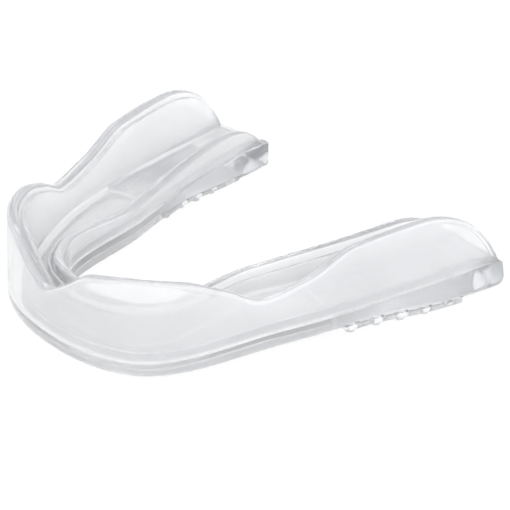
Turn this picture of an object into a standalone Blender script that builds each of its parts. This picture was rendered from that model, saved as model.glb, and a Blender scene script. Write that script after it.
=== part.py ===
"""Clear boil-and-bite mouthguard for the upper teeth, lying trough side up.

Five pieces nest into each other: an outer shell with a tall lip and cheek flange, a soft liner
in its trough, a stiff bite frame let into the underside of the front, and a studded pad under
the back of each arm. The front is at -Y, the arms reach back towards +Y, and X = 0 is the
symmetry plane. The lowest plane, z = 0, is what the guard stands on.

Every piece follows one line, the outer face of the shell seen from above. A place on the guard
is an arc length along that line from the midline, a depth inwards from it, and a height.
"""

import math

import bmesh
import bpy
import numpy as np

# ---- Driving dimensions, in metres --------------------------------------------------------

# Dental arch: the outer face of the shell in plan, y = depth * (shares of |x|^2, |x|^4, |x|^6)
ARCH_HALF_WIDTH = 0.0320
ARCH_DEPTH = 0.0585
ARCH_POWERS = (2, 4, 6)
ARCH_SHARES = (0.24, 0.48, 0.28)

# Profiles along the arm: (share of the way from the midline to the arm's end, size)
ARM_WIDTH = ((0.0, 0.0078), (0.25, 0.0089), (0.5, 0.0137), (0.8, 0.0126), (1.0, 0.0124))
FLANGE_HEIGHT = (
    (0.00, 0.0098), (0.05, 0.0116), (0.12, 0.0147), (0.20, 0.0152), (0.30, 0.0147),
    (0.38, 0.0128), (0.45, 0.0105), (0.55, 0.0119), (0.65, 0.0148), (0.78, 0.0153), (1.0, 0.0153),
)
FLANGE_LEAN = ((0.0, 0.05), (0.2, 0.05), (0.7, 0.08), (1.0, 0.08))  # inwards, per unit of height
TONGUE_WALL_HEIGHT = ((0.0, 0.0080), (0.45, 0.0083), (0.65, 0.0091), (0.85, 0.0097), (1.0, 0.0097))
UNDERSIDE_RISE = (
    (0.0, 0.0), (0.2, 0.0), (0.5, 0.0022), (0.65, 0.0022), (0.85, 0.0006), (1.0, 0.0))

FLANGE_END_LENGTH = 0.0150       # over this length the flange curves down to the arm's end
TONGUE_WALL_END_LENGTH = 0.0115  # and the tongue-side wall over this one

SHELL_WALL = 0.0016
SHELL_FLOOR = 0.0020             # from the guard's underside to the top of the shell's floor
OUTER_EDGE_RADIUS = 0.0026       # along the bottom of the lip and cheek side
TONGUE_EDGE_RADIUS = 0.0013      # along the bottom of the tongue side
TROUGH_CORNER_RADIUS = 0.0010
RIM_ROUNDING = 0.45              # radius along a wall's rim, as a share of the wall
LOWEST_RIM = 0.0006              # a wall ends no lower than this above its own floor

GAP = 0.0003                     # between pieces that sit against each other

LINER_THICKNESS = 0.0007
LINER_FLANGE_SETBACK = 0.0009    # the liner's edge stops this far below the flange's rim
LINER_TONGUE_SETBACK = 0.0009
LINER_END_SETBACK = 0.0015

FRAME_THICKNESS = 0.0010
FRAME_LENGTH = 0.0441            # from the midline to the frame's end, along the arch's line
FRAME_STRIP = 0.0002             # flat underside between the shell's rounded edges and the groove
FRAME_END_MARGIN = 0.0010        # shell left between the end of the frame and the pad

PAD_THICKNESS = 0.0009
PAD_EDGE_ROUNDING = 0.6          # radius along a pad's lower sides, as a share of its thickness
PAD_SIDE_MARGIN = 0.0003         # the pad's sides stand this far inside the shell's faces
PAD_END_SETBACK = 0.0075         # behind the pad the shell has a heel of its own

STUD_RADIUS = 0.0011
STUD_TIP_RADIUS = 0.0008
STUD_LENGTH = 0.0010             # below the pad, or as far as there is room for
STUD_PITCH = 0.0042
STUD_EDGE_MARGIN = 0.0006        # from the pad's edge to the nearest stud
STUD_ROOT = 0.0003               # how deep a stud starts inside its pad

STATION_SPACING = 0.0030         # between the sections of a loft
ARC_STEPS = 3                    # facets in each rounded corner of a section
STUD_SIDES = 9
SHARP_EDGE_DEGREES = 35.0        # edges turning by more than this are shaded sharp
MIRROR_MERGE_DISTANCE = 0.00001

# Finishes: colour and roughness
CLEAR_SHELL = ((0.86, 0.87, 0.90, 1.0), 0.18)
SOFT_LINER = ((0.90, 0.90, 0.93, 1.0), 0.28)
FIRM_FRAME = ((0.78, 0.79, 0.83, 1.0), 0.22)
MOLAR_PAD = ((0.78, 0.79, 0.83, 1.0), 0.30)


# ---- The line of the arch and the profiles along it ---------------------------------------

def arch_table(samples=2001):
    """Arc length from the midline, x and y, at many points along the right half of the arch."""
    share = np.linspace(0.0, 1.0, samples)
    x = ARCH_HALF_WIDTH * share
    y = ARCH_DEPTH * sum(part * share ** power for part, power in zip(ARCH_SHARES, ARCH_POWERS))
    arc = np.concatenate(([0.0], np.cumsum(np.hypot(np.diff(x), np.diff(y)))))
    return arc, x, y


ARC, ARC_X, ARC_Y = arch_table()
ARM_LENGTH = float(ARC[-1])


def arch_frame(arc):
    """Point on the arch's outer line and the unit direction inwards, for the right half.

    Past the arm's end the line runs straight on.
    """
    x = float(np.interp(arc, ARC, ARC_X))
    y = float(np.interp(arc, ARC, ARC_Y))
    share = x / ARCH_HALF_WIDTH
    slope = ARCH_DEPTH / ARCH_HALF_WIDTH * sum(
        part * power * share ** (power - 1) for part, power in zip(ARCH_SHARES, ARCH_POWERS))
    length = math.hypot(1.0, slope)
    past_end = max(arc - ARM_LENGTH, 0.0)
    return (x + past_end / length, y + past_end * slope / length,
            -slope / length, 1.0 / length)


def profile(points, arc):
    """Smooth curve through a profile's points that never overshoots them (monotone cubic)."""
    where = np.array([share for share, _ in points]) * ARM_LENGTH
    size = np.array([value for _, value in points])
    width = np.diff(where)
    slope = np.diff(size) / width
    tangent = np.zeros(len(points))
    for i in range(1, len(points) - 1):
        if slope[i - 1] * slope[i] > 0.0:
            before = 2.0 * width[i] + width[i - 1]
            after = width[i] + 2.0 * width[i - 1]
            tangent[i] = (before + after) / (before / slope[i - 1] + after / slope[i])
    i = int(np.clip(np.searchsorted(where, arc) - 1, 0, len(width) - 1))
    t = min(max((arc - where[i]) / width[i], 0.0), 1.0)
    return float(
        (1.0 + 2.0 * t) * (1.0 - t) ** 2 * size[i] + t * (1.0 - t) ** 2 * width[i] * tangent[i]
        + t * t * (3.0 - 2.0 * t) * size[i + 1] + t * t * (t - 1.0) * width[i] * tangent[i + 1])


def end_curve(arc, length):
    """1 along the arm, falling to 0 at its end in a quarter ellipse of the given length."""
    remaining = min(max((ARM_LENGTH - arc) / length, 0.0), 1.0)
    return math.sqrt(1.0 - (1.0 - remaining) ** 2)


def flange_top(arc):
    return profile(FLANGE_HEIGHT, arc) * end_curve(arc, FLANGE_END_LENGTH)


def tongue_wall_top(arc):
    return profile(TONGUE_WALL_HEIGHT, arc) * end_curve(arc, TONGUE_WALL_END_LENGTH)


def underside(arc):
    return profile(UNDERSIDE_RISE, arc)


def arm_width(arc):
    return profile(ARM_WIDTH, arc)


def shell_floor_top(arc):
    """The floor rises with the underside and stays level where the underside comes down again."""
    passed = [rise for share, rise in UNDERSIDE_RISE if share * ARM_LENGTH <= arc]
    return max(passed + [underside(arc)]) + SHELL_FLOOR


PAD_START = FRAME_LENGTH + GAP + FRAME_END_MARGIN + GAP
PAD_END = ARM_LENGTH - PAD_END_SETBACK

# The origin is at the middle of the guard's length, front face to the arms' inner corners.
END_X, END_Y, END_IN_X, END_IN_Y = arch_frame(ARM_LENGTH)
FRONT_TO_MIDDLE = 0.5 * (END_Y + END_IN_Y * arm_width(ARM_LENGTH))


def place(arc, depth, height):
    """World position of a point on the right half."""
    x, y, inward_x, inward_y = arch_frame(arc)
    return (x + inward_x * depth, y + inward_y * depth - FRONT_TO_MIDDLE, height)


def stations(start, end):
    """Arc lengths from start to end, evenly spaced, at most one station spacing apart."""
    count = max(1, math.ceil((end - start) / STATION_SPACING))
    return [start + (end - start) * step / count for step in range(count + 1)]


# ---- Sections: closed outlines as (depth, height) points -----------------------------------

def arc_points(centre_depth, centre_height, radius, start_degrees, end_degrees):
    points = []
    for step in range(ARC_STEPS + 1):
        angle = math.radians(start_degrees + (end_degrees - start_degrees) * step / ARC_STEPS)
        points.append((centre_depth + radius * math.cos(angle), centre_height + radius * math.sin(angle)))
    return points


def rim_points(left, right, top, radius):
    """A wall's rounded top edge between two depths, from its left face to its right one."""
    return (arc_points(left + radius, top - radius, radius, 180.0, 90.0)
            + arc_points(right - radius, top - radius, radius, 90.0, 0.0))


def channel_section(left, right, bottom, floor, wall, lean, left_foot, left_top, right_top,
                    left_edge, right_edge):
    """A U-shaped section: two walls on a floor.

    The left wall, the flange, leans inwards: at each height its outer face is at left + lean *
    height, apart from its foot, which has a depth of its own.
    """
    left_room = 0.5 * (left_top - floor)
    right_room = 0.5 * (right_top - floor)
    left_rim = min(RIM_ROUNDING * wall, left_room)
    right_rim = min(RIM_ROUNDING * wall, right_room)
    corner = min(TROUGH_CORNER_RADIUS, left_room, right_room)
    at_top = left + lean * left_top
    inner_left = left + wall + lean * floor
    inner_right = right - wall
    outline = arc_points(left_foot + left_edge, bottom + left_edge, left_edge, 270.0, 180.0)
    outline += rim_points(at_top, at_top + wall, left_top, left_rim)
    outline += arc_points(inner_left + corner, floor + corner, corner, 180.0, 270.0)
    outline += arc_points(inner_right - corner, floor + corner, corner, 270.0, 360.0)
    outline += rim_points(inner_right, right, right_top, right_rim)
    outline += arc_points(right - right_edge, bottom + right_edge, right_edge, 360.0, 270.0)
    return outline


def shell_section(arc):
    floor = shell_floor_top(arc)
    lowest = floor + LOWEST_RIM
    return channel_section(
        0.0, arm_width(arc), underside(arc), floor, SHELL_WALL, profile(FLANGE_LEAN, arc), 0.0,
        max(flange_top(arc), lowest), max(tongue_wall_top(arc), lowest),
        OUTER_EDGE_RADIUS, TONGUE_EDGE_RADIUS)


def liner_section(arc):
    """The trough's lining: it follows the shell's inner faces at the gap."""
    bottom = shell_floor_top(arc) + GAP
    floor = bottom + LINER_THICKNESS
    lowest = floor + LOWEST_RIM
    inset = SHELL_WALL + GAP
    corner = TROUGH_CORNER_RADIUS - GAP
    lean = profile(FLANGE_LEAN, arc)
    return channel_section(
        inset, arm_width(arc) - inset, bottom, floor, LINER_THICKNESS, lean, inset + lean * bottom,
        max(flange_top(arc) - LINER_FLANGE_SETBACK, lowest),
        max(tongue_wall_top(arc) - LINER_TONGUE_SETBACK, lowest),
        corner, corner)


def bar_section(left, right, bottom, top):
    return [(left, bottom), (left, top), (right, top), (right, bottom)]


def frame_groove_sides(arc):
    """Depths of the two sides of the groove, in the flat of the shell's underside."""
    return OUTER_EDGE_RADIUS + FRAME_STRIP, arm_width(arc) - TONGUE_EDGE_RADIUS - FRAME_STRIP


def frame_section(arc):
    left, right = frame_groove_sides(arc)
    return bar_section(left + GAP, right - GAP, underside(arc), underside(arc) + FRAME_THICKNESS)


def frame_groove_section(arc):
    left, right = frame_groove_sides(arc)
    return bar_section(left, right, underside(arc) - OUTER_EDGE_RADIUS,
                       underside(arc) + FRAME_THICKNESS + GAP)


def pad_section(arc):
    """A flat pad whose bottom edges carry on the shell's rounded ones."""
    left = PAD_SIDE_MARGIN
    right = arm_width(arc) - PAD_SIDE_MARGIN
    bottom = underside(arc)
    radius = PAD_EDGE_ROUNDING * PAD_THICKNESS
    return (arc_points(left + radius, bottom + radius, radius, 270.0, 180.0)
            + [(left, bottom + PAD_THICKNESS), (right, bottom + PAD_THICKNESS)]
            + arc_points(right - radius, bottom + radius, radius, 360.0, 270.0))


def pad_seat_section(arc):
    """What is cut away from the shell for a pad: wider than the arm and open below."""
    beyond = SHELL_WALL
    return bar_section(-beyond, arm_width(arc) + beyond,
                       underside(arc) - OUTER_EDGE_RADIUS, underside(arc) + PAD_THICKNESS + GAP)


# ---- Meshes and objects -------------------------------------------------------------------

def loft(name, section, arcs, open_start=False, side=1):
    """A closed tube of quads through one section per station. Side -1 is the left half."""
    build = bmesh.new()
    rings = []
    for arc in arcs:
        ring = []
        for depth, height in section(arc):
            x, y, z = place(arc, depth, height)
            ring.append(build.verts.new((side * x, y, z)))
        rings.append(ring)
    for ring, following in zip(rings, rings[1:]):
        for index in range(len(ring)):
            after = (index + 1) % len(ring)
            build.faces.new((ring[index], ring[after], following[after], following[index]))
    if not open_start:
        build.faces.new(rings[0])
    build.faces.new(rings[-1])
    bmesh.ops.recalc_face_normals(build, faces=build.faces)
    if open_start:
        face_outwards(build)
    return finish_mesh(name, build)


def face_outwards(build):
    """Turn an open half the right way out: its floor's underside looks down."""
    lowest = min(build.faces, key=lambda face: face.calc_center_median().z)
    if lowest.normal.z > 0.0:
        bmesh.ops.reverse_faces(build, faces=build.faces)


def finish_mesh(name, build):
    mesh = bpy.data.meshes.new(name)
    build.to_mesh(mesh)
    build.free()
    mesh.shade_smooth()
    mesh.set_sharp_from_angle(angle=math.radians(SHARP_EDGE_DEGREES))
    return bpy.data.objects.new(name, mesh)


def mirrored(item):
    mirror = item.modifiers.new("Mirror", 'MIRROR')
    mirror.use_axis = (True, False, False)
    mirror.merge_threshold = MIRROR_MERGE_DISTANCE
    return item


def material(name, finish):
    colour, roughness = finish
    surface = bpy.data.materials.new(name)
    surface.use_nodes = True
    shader = surface.node_tree.nodes["Principled BSDF"]
    shader.inputs["Base Color"].default_value = colour
    shader.inputs["Roughness"].default_value = roughness
    shader.inputs["Metallic"].default_value = 0.0
    return surface


def add_part(item, parts, parent, surface):
    item.data.materials.append(surface)
    item.parent = parent
    parts.objects.link(item)
    return item


def add_tool(item, tools, operation, targets):
    """Hide a shape that cuts or joins, and let it act on its targets."""
    item.hide_render = True
    item.display_type = 'WIRE'
    tools.objects.link(item)
    for target in targets:
        boolean = target.modifiers.new(item.name, 'BOOLEAN')
        boolean.operation = operation
        boolean.object = item
        boolean.solver = 'EXACT'


def outer_shell():
    shell = mirrored(loft("outer_shell", shell_section, stations(0.0, ARM_LENGTH), open_start=True))
    groove_end = FRAME_LENGTH + GAP
    groove = mirrored(loft("frame_groove", frame_groove_section, stations(0.0, groove_end),
                           open_start=True))
    seats = [loft(f"pad_seat_{side_name(side)}", pad_seat_section,
                  stations(PAD_START - GAP, PAD_END + GAP), side=side)
             for side in (1, -1)]
    return shell, [groove] + seats


def fit_liner():
    return mirrored(loft("fit_liner", liner_section, stations(0.0, ARM_LENGTH - LINER_END_SETBACK),
                         open_start=True))


def bite_frame():
    return mirrored(loft("bite_frame", frame_section, stations(0.0, FRAME_LENGTH), open_start=True))


def side_name(side):
    return "right" if side > 0 else "left"


def molar_pad(side):
    """A pad and, as a second object, all its studs."""
    pad = loft(f"molar_pad_{side_name(side)}", pad_section, stations(PAD_START, PAD_END), side=side)
    return pad, pad_studs(f"studs_{side_name(side)}", side)


def spread(start, end, pitch):
    """Evenly spaced places between start and end, as near to the pitch as fits."""
    count = max(1, round((end - start) / pitch))
    return [start + (end - start) * step / count for step in range(count + 1)]


def pad_studs(name, side):
    """Blunt studs in rows across the pad's underside. None goes below z = 0."""
    build = bmesh.new()
    margin = STUD_RADIUS + STUD_EDGE_MARGIN
    side_margin = PAD_SIDE_MARGIN + margin
    middle_width = arm_width(0.5 * (PAD_START + PAD_END)) - 2.0 * side_margin
    across = spread(0.0, 1.0, STUD_PITCH / middle_width)
    for arc in spread(PAD_START + margin, PAD_END - margin, STUD_PITCH):
        width = arm_width(arc) - 2.0 * side_margin
        for share in across:
            depth = side_margin + share * width
            tip = max(underside(arc) - STUD_LENGTH, 0.0)
            length = underside(arc) + STUD_ROOT - tip
            stud = bmesh.ops.create_cone(
                build, cap_ends=True, segments=STUD_SIDES,
                radius1=STUD_TIP_RADIUS, radius2=STUD_RADIUS, depth=length)
            x, y, z = place(arc, depth, tip + 0.5 * length)
            bmesh.ops.translate(build, verts=stud["verts"], vec=(side * x, y, z))
    return finish_mesh(name, build)


def clear_scene():
    for item in list(bpy.data.objects):
        bpy.data.objects.remove(item, do_unlink=True)


def build_mouthguard():
    clear_scene()
    parts = bpy.data.collections.new("mouthguard")
    tools = bpy.data.collections.new("cutters")
    bpy.context.scene.collection.children.link(parts)
    bpy.context.scene.collection.children.link(tools)
    root = bpy.data.objects.new("mouthguard_root", None)
    parts.objects.link(root)

    shell, cutters = outer_shell()
    add_part(shell, parts, root, material("clear_shell", CLEAR_SHELL))
    for cutter in cutters:
        add_tool(cutter, tools, 'DIFFERENCE', [shell])
    add_part(fit_liner(), parts, root, material("soft_liner", SOFT_LINER))
    add_part(bite_frame(), parts, root, material("firm_frame", FIRM_FRAME))
    for side in (1, -1):
        pad, studs = molar_pad(side)
        add_part(pad, parts, root, material(f"pad_{side_name(side)}", MOLAR_PAD))
        add_tool(studs, tools, 'UNION', [pad])


build_mouthguard()
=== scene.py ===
"""Looks of a clear boil-and-bite mouthguard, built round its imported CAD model.

The five CAD pieces keep their places and sizes. Each is stood for here by a finer mesh of the same
shape: the arch, the profiles along it and the sections below are the CAD model's own, with finer
steps, round rims, rounded arm ends and the faint waviness of moulded ethylene-vinyl acetate.
"""

import math

import bmesh
import bpy
import numpy as np
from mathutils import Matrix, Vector, noise


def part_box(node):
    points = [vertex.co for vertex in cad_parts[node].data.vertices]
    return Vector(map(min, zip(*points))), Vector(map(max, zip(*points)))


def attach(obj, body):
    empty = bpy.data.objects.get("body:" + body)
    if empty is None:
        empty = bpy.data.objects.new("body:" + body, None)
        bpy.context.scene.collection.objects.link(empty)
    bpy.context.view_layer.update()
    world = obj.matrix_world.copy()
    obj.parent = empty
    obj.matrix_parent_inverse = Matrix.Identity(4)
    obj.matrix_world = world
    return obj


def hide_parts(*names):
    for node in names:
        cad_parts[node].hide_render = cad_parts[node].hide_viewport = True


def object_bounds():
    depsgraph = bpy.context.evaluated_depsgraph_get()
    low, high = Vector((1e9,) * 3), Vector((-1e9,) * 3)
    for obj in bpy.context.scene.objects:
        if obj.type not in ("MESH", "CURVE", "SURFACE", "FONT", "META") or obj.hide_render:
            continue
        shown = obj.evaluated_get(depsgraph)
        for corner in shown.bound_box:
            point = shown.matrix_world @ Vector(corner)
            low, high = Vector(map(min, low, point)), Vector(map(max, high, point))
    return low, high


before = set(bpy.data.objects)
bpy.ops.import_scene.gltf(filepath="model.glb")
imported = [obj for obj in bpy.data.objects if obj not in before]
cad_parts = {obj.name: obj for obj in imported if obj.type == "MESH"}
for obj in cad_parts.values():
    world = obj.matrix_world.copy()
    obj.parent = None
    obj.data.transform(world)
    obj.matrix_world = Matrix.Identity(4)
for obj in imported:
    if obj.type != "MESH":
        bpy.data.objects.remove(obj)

CAD_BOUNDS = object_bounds()
SHELL_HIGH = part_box("outer_shell")[1]

# ---- Sizes, in metres, the same as the CAD model's -----------------------------------------

ARCH_HALF_WIDTH = SHELL_HIGH.x
FRONT_TO_MIDDLE = SHELL_HIGH.y
ARCH_DEPTH = 0.0585
ARCH_POWERS = (2, 4, 6)
ARCH_SHARES = (0.24, 0.48, 0.28)

# Profiles along the arm: (share of the way from the midline to the arm's end, size)
ARM_WIDTH = ((0.0, 0.0078), (0.25, 0.0089), (0.5, 0.0137), (0.8, 0.0126), (1.0, 0.0124))
FLANGE_HEIGHT = (
    (0.00, 0.0098), (0.05, 0.0116), (0.12, 0.0147), (0.20, 0.0152), (0.30, 0.0147),
    (0.38, 0.0128), (0.45, 0.0105), (0.55, 0.0119), (0.65, 0.0148), (0.78, 0.0153), (1.0, 0.0153),
)
FLANGE_LEAN = ((0.0, 0.05), (0.2, 0.05), (0.7, 0.08), (1.0, 0.08))  # inwards, per unit of height
TONGUE_WALL_HEIGHT = ((0.0, 0.0080), (0.45, 0.0083), (0.65, 0.0091), (0.85, 0.0097), (1.0, 0.0097))
UNDERSIDE_RISE = (
    (0.0, 0.0), (0.2, 0.0), (0.5, 0.0022), (0.65, 0.0022), (0.85, 0.0006), (1.0, 0.0))

FLANGE_END_LENGTH = 0.0150
TONGUE_WALL_END_LENGTH = 0.0115

SHELL_WALL = 0.0016
SHELL_FLOOR = 0.0020
OUTER_EDGE_RADIUS = 0.0026
TONGUE_EDGE_RADIUS = 0.0013
TROUGH_CORNER_RADIUS = 0.0010
RIM_ROUNDING = 0.48              # nearly a full round
LOWEST_RIM = 0.0006

GAP = 0.0003
LINER_THICKNESS = 0.0007
LINER_FLANGE_SETBACK = 0.0009
LINER_TONGUE_SETBACK = 0.0009
LINER_END_SETBACK = 0.0015

FRAME_THICKNESS = 0.0010
FRAME_LENGTH = 0.0441
FRAME_STRIP = 0.0002
FRAME_END_MARGIN = 0.0010

PAD_THICKNESS = 0.0009
PAD_SIDE_MARGIN = 0.0003
PAD_END_SETBACK = 0.0075

STUD_RADIUS = 0.0011
STUD_TIP_RADIUS = 0.0008
STUD_LENGTH = 0.0010
STUD_PITCH = 0.0042
STUD_EDGE_MARGIN = 0.0006
STUD_ROOT = 0.0003

# Fineness of the visible meshes
STATION_SPACING = 0.0006
STATION_MERGE = 0.00001          # stations nearer than this to the last one are left out
ARC_STEPS = 7
RUN_STEP = 0.0009
CHANNEL_RUNS = (0.010, 0.009, 0.006, 0.004, 0.006, 0.007)   # usual lengths of the straight runs
BAR_RUNS = (0.001, 0.009, 0.001, 0.009)
END_ROUND = 0.0004               # how far the arm ends are rounded off in plan and in height
END_STEPS = 6
LINER_END_SHARE = 0.4            # shares of END_ROUND at the ends of the thinner pieces
BAR_END_SHARE = 0.5
STUD_SIDES = 28
STUD_CURVE_STEPS = 4

# The least edge radius where a section is drawn in towards a rounded end
LEAST_CHANNEL_EDGE = 0.0002
LEAST_BAR_EDGE = 0.00005

# Small rounds on edges that the CAD model leaves sharp
FRAME_EDGE = 0.0002
GROOVE_EDGE = 0.0003
PAD_EDGE = 0.0003
SEAT_EDGE = 0.0002
STUD_TIP_ROUND = 0.0003
STUD_FLARE = 0.00025             # how much a stud widens where it meets the pad
STUD_FLARE_DEPTH = 0.00002       # the flare's rim sits this far inside the pad

# Waviness of the moulded faces
WAVE_HEIGHT = 0.00004
WAVE_LENGTH = 0.0065
SHELL_WAVE = 3.1                 # where each piece reads the noise
LINER_WAVE = 7.7

# Edges turning by more than this are shaded sharp
SHARP_DEGREES = 40.0
PAD_SHARP_DEGREES = 35.0


# ---- The line of the arch and the profiles along it ----------------------------------------

def arch_table(samples=4001):
    """Arc length from the midline, x and y, at many points along the right half of the arch."""
    share = np.linspace(0.0, 1.0, samples)
    x = ARCH_HALF_WIDTH * share
    y = ARCH_DEPTH * sum(part * share ** power for part, power in zip(ARCH_SHARES, ARCH_POWERS))
    arc = np.concatenate(([0.0], np.cumsum(np.hypot(np.diff(x), np.diff(y)))))
    return arc, x, y


ARC, ARC_X, ARC_Y = arch_table()
ARM_LENGTH = float(ARC[-1])
PAD_START = FRAME_LENGTH + GAP + FRAME_END_MARGIN + GAP
PAD_END = ARM_LENGTH - PAD_END_SETBACK


def arch_frame(arc):
    """Point on the arch's outer line and the unit direction inwards; arc is negative on the left."""
    side = -1.0 if arc < 0.0 else 1.0
    x = float(np.interp(abs(arc), ARC, ARC_X))
    y = float(np.interp(abs(arc), ARC, ARC_Y))
    share = x / ARCH_HALF_WIDTH
    slope = ARCH_DEPTH / ARCH_HALF_WIDTH * sum(
        part * power * share ** (power - 1) for part, power in zip(ARCH_SHARES, ARCH_POWERS))
    length = math.hypot(1.0, slope)
    past_end = max(abs(arc) - ARM_LENGTH, 0.0)
    return (side * (x + past_end / length), y + past_end * slope / length,
            -side * slope / length, 1.0 / length)


def place(arc, depth, height):
    x, y, inward_x, inward_y = arch_frame(arc)
    return Vector((x + inward_x * depth, y + inward_y * depth - FRONT_TO_MIDDLE, height))


def profile(points, arc):
    """Smooth curve through a profile's points that never overshoots them (monotone cubic)."""
    where = np.array([share for share, _ in points]) * ARM_LENGTH
    size = np.array([value for _, value in points])
    width = np.diff(where)
    slope = np.diff(size) / width
    tangent = np.zeros(len(points))
    for i in range(1, len(points) - 1):
        if slope[i - 1] * slope[i] > 0.0:
            before = 2.0 * width[i] + width[i - 1]
            after = width[i] + 2.0 * width[i - 1]
            tangent[i] = (before + after) / (before / slope[i - 1] + after / slope[i])
    i = int(np.clip(np.searchsorted(where, abs(arc)) - 1, 0, len(width) - 1))
    t = min(max((abs(arc) - where[i]) / width[i], 0.0), 1.0)
    return float(
        (1.0 + 2.0 * t) * (1.0 - t) ** 2 * size[i] + t * (1.0 - t) ** 2 * width[i] * tangent[i]
        + t * t * (3.0 - 2.0 * t) * size[i + 1] + t * t * (t - 1.0) * width[i] * tangent[i + 1])


def end_curve(arc, length):
    remaining = min(max((ARM_LENGTH - abs(arc)) / length, 0.0), 1.0)
    return math.sqrt(1.0 - (1.0 - remaining) ** 2)


def flange_top(arc):
    return profile(FLANGE_HEIGHT, arc) * end_curve(arc, FLANGE_END_LENGTH)


def tongue_wall_top(arc):
    return profile(TONGUE_WALL_HEIGHT, arc) * end_curve(arc, TONGUE_WALL_END_LENGTH)


def underside(arc):
    return profile(UNDERSIDE_RISE, arc)


def shell_floor_top(arc):
    """The floor rises with the underside and stays level where the underside comes down again."""
    passed = [rise for share, rise in UNDERSIDE_RISE if share * ARM_LENGTH <= abs(arc)]
    return max(passed + [underside(arc)]) + SHELL_FLOOR


def arm_width(arc):
    return profile(ARM_WIDTH, arc)


def stations(start, end, rounded_start=False, rounded_end=False):
    """(arc length, inset) pairs from start to end; the inset rounds off the ends asked for."""
    def round_off(from_end):
        reach = END_ROUND - min(from_end, END_ROUND)
        return END_ROUND - math.sqrt(END_ROUND ** 2 - reach ** 2)

    count = math.ceil((end - start) / STATION_SPACING)
    arcs = {start + (end - start) * step / count for step in range(count + 1)}
    for step in range(1, END_STEPS + 1):
        from_end = END_ROUND * (1.0 - math.cos(0.5 * math.pi * step / END_STEPS))
        if rounded_start:
            arcs.add(start + from_end)
        if rounded_end:
            arcs.add(end - from_end)
    merged = []
    for arc in sorted(arcs):
        if not merged or arc - merged[-1] > STATION_MERGE:
            merged.append(arc)
    pairs = []
    for arc in merged:
        inset = 0.0
        if rounded_start:
            inset = max(inset, round_off(arc - start))
        if rounded_end:
            inset = max(inset, round_off(end - arc))
        pairs.append((arc, inset))
    return pairs


# ---- Sections: closed outlines as (depth, height) points ------------------------------------

def arc_points(centre_depth, centre_height, radius, start_degrees, end_degrees):
    points = []
    for step in range(ARC_STEPS + 1):
        angle = math.radians(start_degrees + (end_degrees - start_degrees) * step / ARC_STEPS)
        points.append((centre_depth + radius * math.cos(angle),
                       centre_height + radius * math.sin(angle)))
    return points


def outline(pieces, run_lengths):
    """Rounded corners joined by straight runs. Each run is cut into about equal short steps,
    as many as its usual length asks for, so that every section has the same number of points."""
    points = []
    for index, piece in enumerate(pieces):
        following = pieces[(index + 1) % len(pieces)][0]
        steps = max(1, round(run_lengths[index] / RUN_STEP))
        points += piece
        for step in range(1, steps):
            share = step / steps
            points.append((piece[-1][0] + (following[0] - piece[-1][0]) * share,
                           piece[-1][1] + (following[1] - piece[-1][1]) * share))
    return points


def rim(left, right, top, radius):
    return (arc_points(left + radius, top - radius, radius, 180.0, 90.0)
            + arc_points(right - radius, top - radius, radius, 90.0, 0.0)[1:])


def channel(left, right, bottom, floor, wall, lean, left_foot, left_top, right_top,
            left_edge, right_edge, inset):
    """A U-shaped section drawn in by the inset all round, as towards a rounded end."""
    left, left_foot, right = left + inset, left_foot + inset, right - inset
    bottom, floor = bottom + inset, floor - inset
    wall = wall - 2.0 * inset
    left_top, right_top = left_top - inset, right_top - inset
    left_room, right_room = 0.5 * (left_top - floor), 0.5 * (right_top - floor)
    left_rim = min(RIM_ROUNDING * wall, left_room)
    right_rim = min(RIM_ROUNDING * wall, right_room)
    corner = min(TROUGH_CORNER_RADIUS, left_room, right_room)
    left_edge = max(left_edge - inset, LEAST_CHANNEL_EDGE)
    right_edge = max(right_edge - inset, LEAST_CHANNEL_EDGE)
    at_top = left + lean * left_top
    inner_left = left + wall + lean * floor
    inner_right = right - wall
    return outline([
        arc_points(left_foot + left_edge, bottom + left_edge, left_edge, 270.0, 180.0),
        rim(at_top, at_top + wall, left_top, left_rim),
        arc_points(inner_left + corner, floor + corner, corner, 180.0, 270.0),
        arc_points(inner_right - corner, floor + corner, corner, 270.0, 360.0),
        rim(inner_right, right, right_top, right_rim),
        arc_points(right - right_edge, bottom + right_edge, right_edge, 360.0, 270.0),
    ], CHANNEL_RUNS)


def shell_section(arc, inset):
    floor = shell_floor_top(arc)
    lowest = floor + LOWEST_RIM
    return channel(0.0, arm_width(arc), underside(arc), floor, SHELL_WALL, profile(FLANGE_LEAN, arc),
                   0.0, max(flange_top(arc), lowest), max(tongue_wall_top(arc), lowest),
                   OUTER_EDGE_RADIUS, TONGUE_EDGE_RADIUS, inset)


def liner_section(arc, inset):
    bottom = shell_floor_top(arc) + GAP
    floor = bottom + LINER_THICKNESS
    lowest = floor + LOWEST_RIM
    side = SHELL_WALL + GAP
    corner = TROUGH_CORNER_RADIUS - GAP
    lean = profile(FLANGE_LEAN, arc)
    return channel(side, arm_width(arc) - side, bottom, floor, LINER_THICKNESS, lean,
                   side + lean * bottom,
                   max(flange_top(arc) - LINER_FLANGE_SETBACK, lowest),
                   max(tongue_wall_top(arc) - LINER_TONGUE_SETBACK, lowest),
                   corner, corner, LINER_END_SHARE * inset)


def bar(left, right, bottom, top, edge, inset):
    """A flat bar whose four long edges are rounded."""
    left, right, bottom, top = left + inset, right - inset, bottom + inset, top - inset
    edge = max(edge - inset, LEAST_BAR_EDGE)
    return outline([
        arc_points(left + edge, bottom + edge, edge, 270.0, 180.0),
        arc_points(left + edge, top - edge, edge, 180.0, 90.0),
        arc_points(right - edge, top - edge, edge, 90.0, 0.0),
        arc_points(right - edge, bottom + edge, edge, 360.0, 270.0),
    ], BAR_RUNS)


def frame_groove_sides(arc):
    return OUTER_EDGE_RADIUS + FRAME_STRIP, arm_width(arc) - TONGUE_EDGE_RADIUS - FRAME_STRIP


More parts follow.
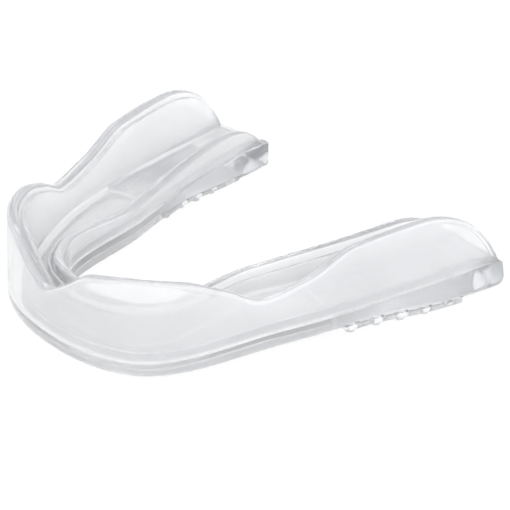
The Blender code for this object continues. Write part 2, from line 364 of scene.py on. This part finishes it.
def frame_section(arc, inset):
    left, right = frame_groove_sides(arc)
    return bar(left + GAP, right - GAP, underside(arc), underside(arc) + FRAME_THICKNESS,
               FRAME_EDGE, BAR_END_SHARE * inset)


def frame_groove_section(arc, inset):
    left, right = frame_groove_sides(arc)
    return bar(left, right, underside(arc) - OUTER_EDGE_RADIUS,
               underside(arc) + FRAME_THICKNESS + GAP, GROOVE_EDGE, inset)


def pad_section(arc, inset):
    return bar(PAD_SIDE_MARGIN, arm_width(arc) - PAD_SIDE_MARGIN, underside(arc),
               underside(arc) + PAD_THICKNESS, PAD_EDGE, BAR_END_SHARE * inset)


def pad_seat_section(arc, inset):
    """What is cut away from the shell for a pad: wider than the arm and open below."""
    return bar(-SHELL_WALL, arm_width(arc) + SHELL_WALL, underside(arc) - OUTER_EDGE_RADIUS,
               underside(arc) + PAD_THICKNESS + GAP, SEAT_EDGE, inset)


# ---- Meshes ---------------------------------------------------------------------------------

def loft(section, steps):
    """A closed bmesh through one section per station, with rounded or flat ends."""
    build = bmesh.new()
    rings = []
    for arc, inset in steps:
        rings.append([build.verts.new(place(arc, depth, height))
                      for depth, height in section(arc, inset)])
    for ring, following in zip(rings, rings[1:]):
        for index in range(len(ring)):
            after = (index + 1) % len(ring)
            build.faces.new((ring[index], ring[after], following[after], following[index]))
    caps = [build.faces.new(rings[0]), build.faces.new(rings[-1])]
    bmesh.ops.triangulate(build, faces=caps)
    bmesh.ops.recalc_face_normals(build, faces=build.faces)
    return build


def wave(build, start):
    """Pushes the faces in and out a little, as moulded soft plastic is never quite even."""
    build.normal_update()
    offset = Vector((start, 2.0 * start, -start))
    moves = [vert.normal * (WAVE_HEIGHT * noise.noise(vert.co / WAVE_LENGTH + offset))
             for vert in build.verts]
    for vert, move in zip(build.verts, moves):
        vert.co += move


def make_object(name, build):
    mesh = bpy.data.meshes.new(name)
    build.to_mesh(mesh)
    build.free()
    item = bpy.data.objects.new(name, mesh)
    bpy.context.scene.collection.objects.link(item)
    return item


def combine(item, tools, operation):
    """Cuts the tools out of an item, or joins them to it, and removes them."""
    for tool in tools:
        boolean = item.modifiers.new(tool.name, 'BOOLEAN')
        boolean.operation = operation
        boolean.object = tool
        boolean.solver = 'EXACT'
    depsgraph = bpy.context.evaluated_depsgraph_get()
    mesh = bpy.data.meshes.new_from_object(item.evaluated_get(depsgraph))
    item.modifiers.clear()
    item.data = mesh
    for tool in tools:
        bpy.data.objects.remove(tool)


def smooth(item, sharp_degrees=SHARP_DEGREES):
    item.data.shade_smooth()
    item.data.set_sharp_from_angle(angle=math.radians(sharp_degrees))


def shell_piece():
    build = loft(shell_section, stations(-ARM_LENGTH, ARM_LENGTH, True, True))
    wave(build, SHELL_WAVE)
    shell = make_object("mouthguard_shell", build)
    groove_end = FRAME_LENGTH + GAP
    groove = make_object("groove", loft(frame_groove_section, stations(-groove_end, groove_end)))
    start, end = PAD_START - GAP, PAD_END + GAP
    seats = [make_object("seat_right", loft(pad_seat_section, stations(start, end))),
             make_object("seat_left", loft(pad_seat_section, stations(-end, -start)))]
    combine(shell, [groove] + seats, 'DIFFERENCE')
    smooth(shell)
    return shell


def liner_piece():
    end = ARM_LENGTH - LINER_END_SETBACK
    build = loft(liner_section, stations(-end, end, True, True))
    wave(build, LINER_WAVE)
    liner = make_object("trough_liner", build)
    smooth(liner)
    return liner


def frame_piece():
    build = loft(frame_section, stations(-FRAME_LENGTH, FRAME_LENGTH, True, True))
    bite_frame = make_object("front_bite_frame", build)
    smooth(bite_frame)
    return bite_frame


def spread(start, end, pitch):
    """Evenly spaced places between start and end, as near to the pitch as fits."""
    count = max(1, round((end - start) / pitch))
    return [start + (end - start) * step / count for step in range(count + 1)]


def stud_outline(length):
    """(radius, height) down a stud: a flared root, a tapered side and a rounded tip at 0."""
    quarter_turn = [0.5 * math.pi * step / STUD_CURVE_STEPS for step in range(STUD_CURVE_STEPS + 1)]
    widest = STUD_RADIUS + STUD_FLARE
    points = [(widest, length), (widest, length - STUD_ROOT + STUD_FLARE_DEPTH)]
    for angle in quarter_turn[1:]:
        points.append((STUD_RADIUS + STUD_FLARE * (1.0 - math.sin(angle)),
                       length - STUD_ROOT - STUD_FLARE * (1.0 - math.cos(angle))))
    for angle in quarter_turn:
        points.append((STUD_TIP_RADIUS - STUD_TIP_ROUND * (1.0 - math.cos(angle)),
                       STUD_TIP_ROUND * (1.0 - math.sin(angle))))
    return points


def add_stud(build, tip, length):
    """Adds a stud that stands up from the middle of its tip."""
    rings = []
    for radius, height in stud_outline(length):
        ring = []
        for side in range(STUD_SIDES):
            angle = 2.0 * math.pi * side / STUD_SIDES
            ring.append(build.verts.new((tip.x + radius * math.cos(angle),
                                         tip.y + radius * math.sin(angle), tip.z + height)))
        rings.append(ring)
    for ring, following in zip(rings, rings[1:]):
        for side in range(STUD_SIDES):
            after = (side + 1) % STUD_SIDES
            build.faces.new((ring[side], following[side], following[after], ring[after]))
    build.faces.new(rings[0])
    build.faces.new(list(reversed(rings[-1])))


def pad_piece(side, side_name):
    """A pad and its rows of studs. None goes below z = 0."""
    start, end = sorted((side * PAD_START, side * PAD_END))
    pad = make_object(f"studded_pad_{side_name}", loft(pad_section, stations(start, end, True, True)))
    build = bmesh.new()
    margin = STUD_RADIUS + STUD_EDGE_MARGIN
    side_margin = PAD_SIDE_MARGIN + margin
    middle_width = arm_width(0.5 * (PAD_START + PAD_END)) - 2.0 * side_margin
    across = spread(0.0, 1.0, STUD_PITCH / middle_width)
    for arc in spread(PAD_START + margin, PAD_END - margin, STUD_PITCH):
        width = arm_width(arc) - 2.0 * side_margin
        lowest = max(underside(arc) - STUD_LENGTH, 0.0)
        for share in across:
            add_stud(build, place(side * arc, side_margin + share * width, lowest),
                     underside(arc) + STUD_ROOT - lowest)
    bmesh.ops.recalc_face_normals(build, faces=build.faces)
    combine(pad, [make_object("studs", build)], 'UNION')
    smooth(pad, PAD_SHARP_DEGREES)
    return pad


# ---- Materials --------------------------------------------------------------------------------

CLARITY = 0.80                   # the rest of the light is scattered at each face

# Refractive indices. The plastic's real one is near 1.48; the shell's and the liner's are set lower
# for looks, because at 1.48 their walls mirror the bright room from inside and turn white
SHELL_IOR = 1.42
LINER_IOR = 1.36
INSERT_IOR = 1.48
TINT = 0.004                     # how far the greys lean towards blue
ABSORPTION = (0.82, 0.83, 0.85, 1.0)

# Noise in the plastic: its fineness per metre, and the part of its range that makes a difference
FLOW_SCALE = 140.0
FLOW_FADE = (0.35, 0.7)
GLOSS_SCALE = 420.0
GLOSS_FADE = (0.3, 0.7)
SKIN_SCALE = 900.0
SKIN_STRENGTH = 0.35

# Painted shade on the heels at the arms' ends: their base colour turns grey as y rises and z falls, each
# from its first value to its second
HEEL_SHADE_Y = (0.0215, 0.0275)
HEEL_SHADE_Z = (0.0075, 0.0045)
HEEL_SHADE_LEVEL = 0.55

# Sockets of a Mix node that mixes colours: each of its data types repeats the same names
MIX_FIRST_COLOUR = 6
MIX_SECOND_COLOUR = 7
MIXED_COLOUR = 2


def grey(level):
    return (level, level + 0.3 * TINT, level + TINT, 1.0)


def ramp(tree, source, fade_range, low_colour, high_colour):
    made = tree.nodes.new("ShaderNodeValToRGB")
    for stop, position, colour in zip(made.color_ramp.elements, fade_range, (low_colour, high_colour)):
        stop.position = position
        stop.color = colour
    tree.links.new(source, made.inputs["Fac"])
    return made.outputs["Color"]


def mapped(tree, source, from_range, to_range, interpolation='LINEAR'):
    made = tree.nodes.new("ShaderNodeMapRange")
    made.interpolation_type = interpolation
    made.inputs["From Min"].default_value, made.inputs["From Max"].default_value = from_range
    made.inputs["To Min"].default_value, made.inputs["To Max"].default_value = to_range
    tree.links.new(source, made.inputs["Value"])
    return made.outputs["Result"]


def noise_texture(tree, position, scale, detail, roughness, distortion=0.0):
    made = tree.nodes.new("ShaderNodeTexNoise")
    made.inputs["Scale"].default_value = scale
    made.inputs["Detail"].default_value = detail
    made.inputs["Roughness"].default_value = roughness
    made.inputs["Distortion"].default_value = distortion
    tree.links.new(position, made.inputs["Vector"])
    return made.outputs["Fac"]


def paint_shade_on_heels(tree, position, colour):
    """Paints shade into the base colour of the heels at the arms' ends, by their place, since absorption
    alone leaves them too light.
    """
    split = tree.nodes.new("ShaderNodeSeparateXYZ")
    tree.links.new(position, split.inputs["Vector"])
    both = tree.nodes.new("ShaderNodeMath")
    both.operation = 'MULTIPLY'
    for index, (axis, fade_range) in enumerate((("Y", HEEL_SHADE_Y), ("Z", HEEL_SHADE_Z))):
        faded = mapped(tree, split.outputs[axis], fade_range, (0.0, 1.0), 'SMOOTHSTEP')
        tree.links.new(faded, both.inputs[index])
    mix = tree.nodes.new("ShaderNodeMix")
    mix.data_type = 'RGBA'
    tree.links.new(both.outputs["Value"], mix.inputs["Factor"])
    tree.links.new(colour, mix.inputs[MIX_FIRST_COLOUR])
    mix.inputs[MIX_SECOND_COLOUR].default_value = grey(HEEL_SHADE_LEVEL)
    return mix.outputs[MIXED_COLOUR]


def clear_plastic(name, levels, roughness, dimple, density, ior, paint_heel_shade=False):
    """Clear moulded plastic: cloudy flow marks, uneven gloss, a skin faintly dimpled by the given
    height, and a tint that deepens with the length of plastic looked through."""
    surface = bpy.data.materials.new(name)
    surface.use_nodes = True
    tree = surface.node_tree
    shader = tree.nodes["Principled BSDF"]
    shader.inputs["Metallic"].default_value = 0.0
    shader.inputs["Transmission Weight"].default_value = CLARITY
    shader.inputs["IOR"].default_value = ior
    position = tree.nodes.new("ShaderNodeTexCoord").outputs["Object"]

    flow = noise_texture(tree, position, FLOW_SCALE, detail=3.0, roughness=0.55, distortion=0.6)
    colour = ramp(tree, flow, FLOW_FADE, grey(levels[0]), grey(levels[1]))
    # Painted shade: on request the heels' base colour is greyed by place, darker towards the arms' lower
    # back ends
    if paint_heel_shade:
        colour = paint_shade_on_heels(tree, position, colour)
    tree.links.new(colour, shader.inputs["Base Color"])

    gloss = noise_texture(tree, position, GLOSS_SCALE, detail=4.0, roughness=0.6)
    tree.links.new(mapped(tree, gloss, GLOSS_FADE, roughness), shader.inputs["Roughness"])

    skin = noise_texture(tree, position, SKIN_SCALE, detail=2.0, roughness=0.5)
    bump = tree.nodes.new("ShaderNodeBump")
    bump.inputs["Strength"].default_value = SKIN_STRENGTH
    bump.inputs["Distance"].default_value = dimple
    tree.links.new(skin, bump.inputs["Height"])
    tree.links.new(bump.outputs["Normal"], shader.inputs["Normal"])

    volume = tree.nodes.new("ShaderNodeVolumeAbsorption")
    volume.inputs["Color"].default_value = ABSORPTION
    volume.inputs["Density"].default_value = density
    tree.links.new(volume.outputs["Volume"], tree.nodes["Material Output"].inputs["Volume"])
    return surface


def dress(piece, cad_node, surface):
    piece.data.materials.clear()
    piece.data.materials.append(surface)
    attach(piece, "root")
    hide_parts(cad_node)


# ---- Floor, light and camera --------------------------------------------------------------------

FLOOR_SIZE = 3.0
FLOOR_DROP = 0.0001              # below the lowest point of the CAD model
FLOOR_GREY = 0.06
FLOOR_GLOW = 0.95                # keeps the floor evenly white, without shadows

ROOM_STRENGTH = 2.56
ROOM_COLOUR = (0.975, 0.985, 1.0, 1.0)
DIM_COLOUR = (0.29, 0.29, 0.2958, 1.0)
DIM_SIDE = (-0.52, 0.48, 0.71)   # the room is dimmer beyond and above the guard, as the camera sees it
DIM_FADE = (0.35, 0.85)

SOFTBOX_PLACE = Vector((-0.35, 0.15, 0.75))
SOFTBOX_SIZE = 0.5
SOFTBOX_POWER = 2.5

CAMERA_AIM = Vector((0.0068, 0.0026, 0.0053))
CAMERA_AZIMUTH = 47.6
CAMERA_ELEVATION = 30.2
CAMERA_DISTANCE = 0.2384
CAMERA_LENS = 116.8
CAMERA_SENSOR = 36.0
CAMERA_CLIP = (0.01, 10.0)

SPECULAR_BOUNCES = 40            # inner reflections in clear plastic need many
DIFFUSE_BOUNCES = 12


def floor():
    height = CAD_BOUNDS[0].z - FLOOR_DROP
    bpy.ops.mesh.primitive_plane_add(size=FLOOR_SIZE, location=(0.0, 0.0, height))
    ground = bpy.context.object
    ground.name = "floor"
    surface = bpy.data.materials.new("floor_white")
    surface.use_nodes = True
    shader = surface.node_tree.nodes["Principled BSDF"]
    shader.inputs["Base Color"].default_value = (FLOOR_GREY, FLOOR_GREY, FLOOR_GREY, 1.0)
    shader.inputs["Roughness"].default_value = 0.9
    shader.inputs["Specular IOR Level"].default_value = 0.0
    shader.inputs["Emission Color"].default_value = (1.0, 1.0, 1.0, 1.0)
    shader.inputs["Emission Strength"].default_value = FLOOR_GLOW
    ground.data.materials.append(surface)


def softbox():
    lamp = bpy.data.lights.new("key_softbox", 'AREA')
    lamp.shape = 'SQUARE'
    lamp.size = SOFTBOX_SIZE
    lamp.energy = SOFTBOX_POWER
    item = bpy.data.objects.new("key_softbox", lamp)
    item.location = SOFTBOX_PLACE
    item.rotation_euler = (-SOFTBOX_PLACE).to_track_quat('-Z', 'Y').to_euler()
    bpy.context.scene.collection.objects.link(item)


def room_light():
    world = bpy.data.worlds.new("studio")
    bpy.context.scene.world = world
    world.use_nodes = True
    tree = world.node_tree
    background = tree.nodes["Background"]
    direction = tree.nodes.new("ShaderNodeTexCoord")
    towards = tree.nodes.new("ShaderNodeVectorMath")
    towards.operation = 'DOT_PRODUCT'
    towards.inputs[1].default_value = DIM_SIDE
    tree.links.new(direction.outputs["Generated"], towards.inputs[0])
    tree.links.new(ramp(tree, towards.outputs["Value"], DIM_FADE, ROOM_COLOUR, DIM_COLOUR),
                   background.inputs["Color"])
    background.inputs["Strength"].default_value = ROOM_STRENGTH


def camera():
    azimuth, elevation = math.radians(CAMERA_AZIMUTH), math.radians(CAMERA_ELEVATION)
    back = Vector((math.sin(azimuth) * math.cos(elevation),
                   -math.cos(azimuth) * math.cos(elevation), math.sin(elevation)))
    data = bpy.data.cameras.new("camera")
    data.lens = CAMERA_LENS
    data.sensor_width = CAMERA_SENSOR
    data.clip_start, data.clip_end = CAMERA_CLIP
    item = bpy.data.objects.new("camera", data)
    item.location = CAMERA_AIM + back * CAMERA_DISTANCE
    item.rotation_euler = (-back).to_track_quat('-Z', 'Y').to_euler()
    bpy.context.scene.collection.objects.link(item)
    bpy.context.scene.camera = item


def build_scene():
    # The shell's base colour carries painted shade on its heels
    shell_surface = clear_plastic("clear_shell", levels=(0.91, 0.88), roughness=(0.03, 0.08),
                                  dimple=0.00002, density=110.0, ior=SHELL_IOR, paint_heel_shade=True)
    liner_surface = clear_plastic("soft_liner", levels=(0.98, 0.965), roughness=(0.10, 0.18),
                                  dimple=0.00003, density=60.0, ior=LINER_IOR)
    firm_surface = clear_plastic("firm_frame", levels=(0.94, 0.91), roughness=(0.05, 0.10),
                                 dimple=0.00002, density=110.0, ior=INSERT_IOR)
    pad_surface = clear_plastic("molar_pad", levels=(0.94, 0.90), roughness=(0.08, 0.18),
                                dimple=0.00003, density=160.0, ior=INSERT_IOR)
    dress(shell_piece(), "outer_shell", shell_surface)
    dress(liner_piece(), "fit_liner", liner_surface)
    dress(frame_piece(), "bite_frame", firm_surface)
    dress(pad_piece(1, "right"), "molar_pad_right", pad_surface)
    dress(pad_piece(-1, "left"), "molar_pad_left", pad_surface)
    floor()
    room_light()
    softbox()
    camera()
    scene = bpy.context.scene
    scene.view_settings.view_transform = 'Standard'
    scene.cycles.max_bounces = SPECULAR_BOUNCES
    scene.cycles.transmission_bounces = SPECULAR_BOUNCES
    scene.cycles.glossy_bounces = SPECULAR_BOUNCES
    scene.cycles.diffuse_bounces = DIFFUSE_BOUNCES


build_scene()
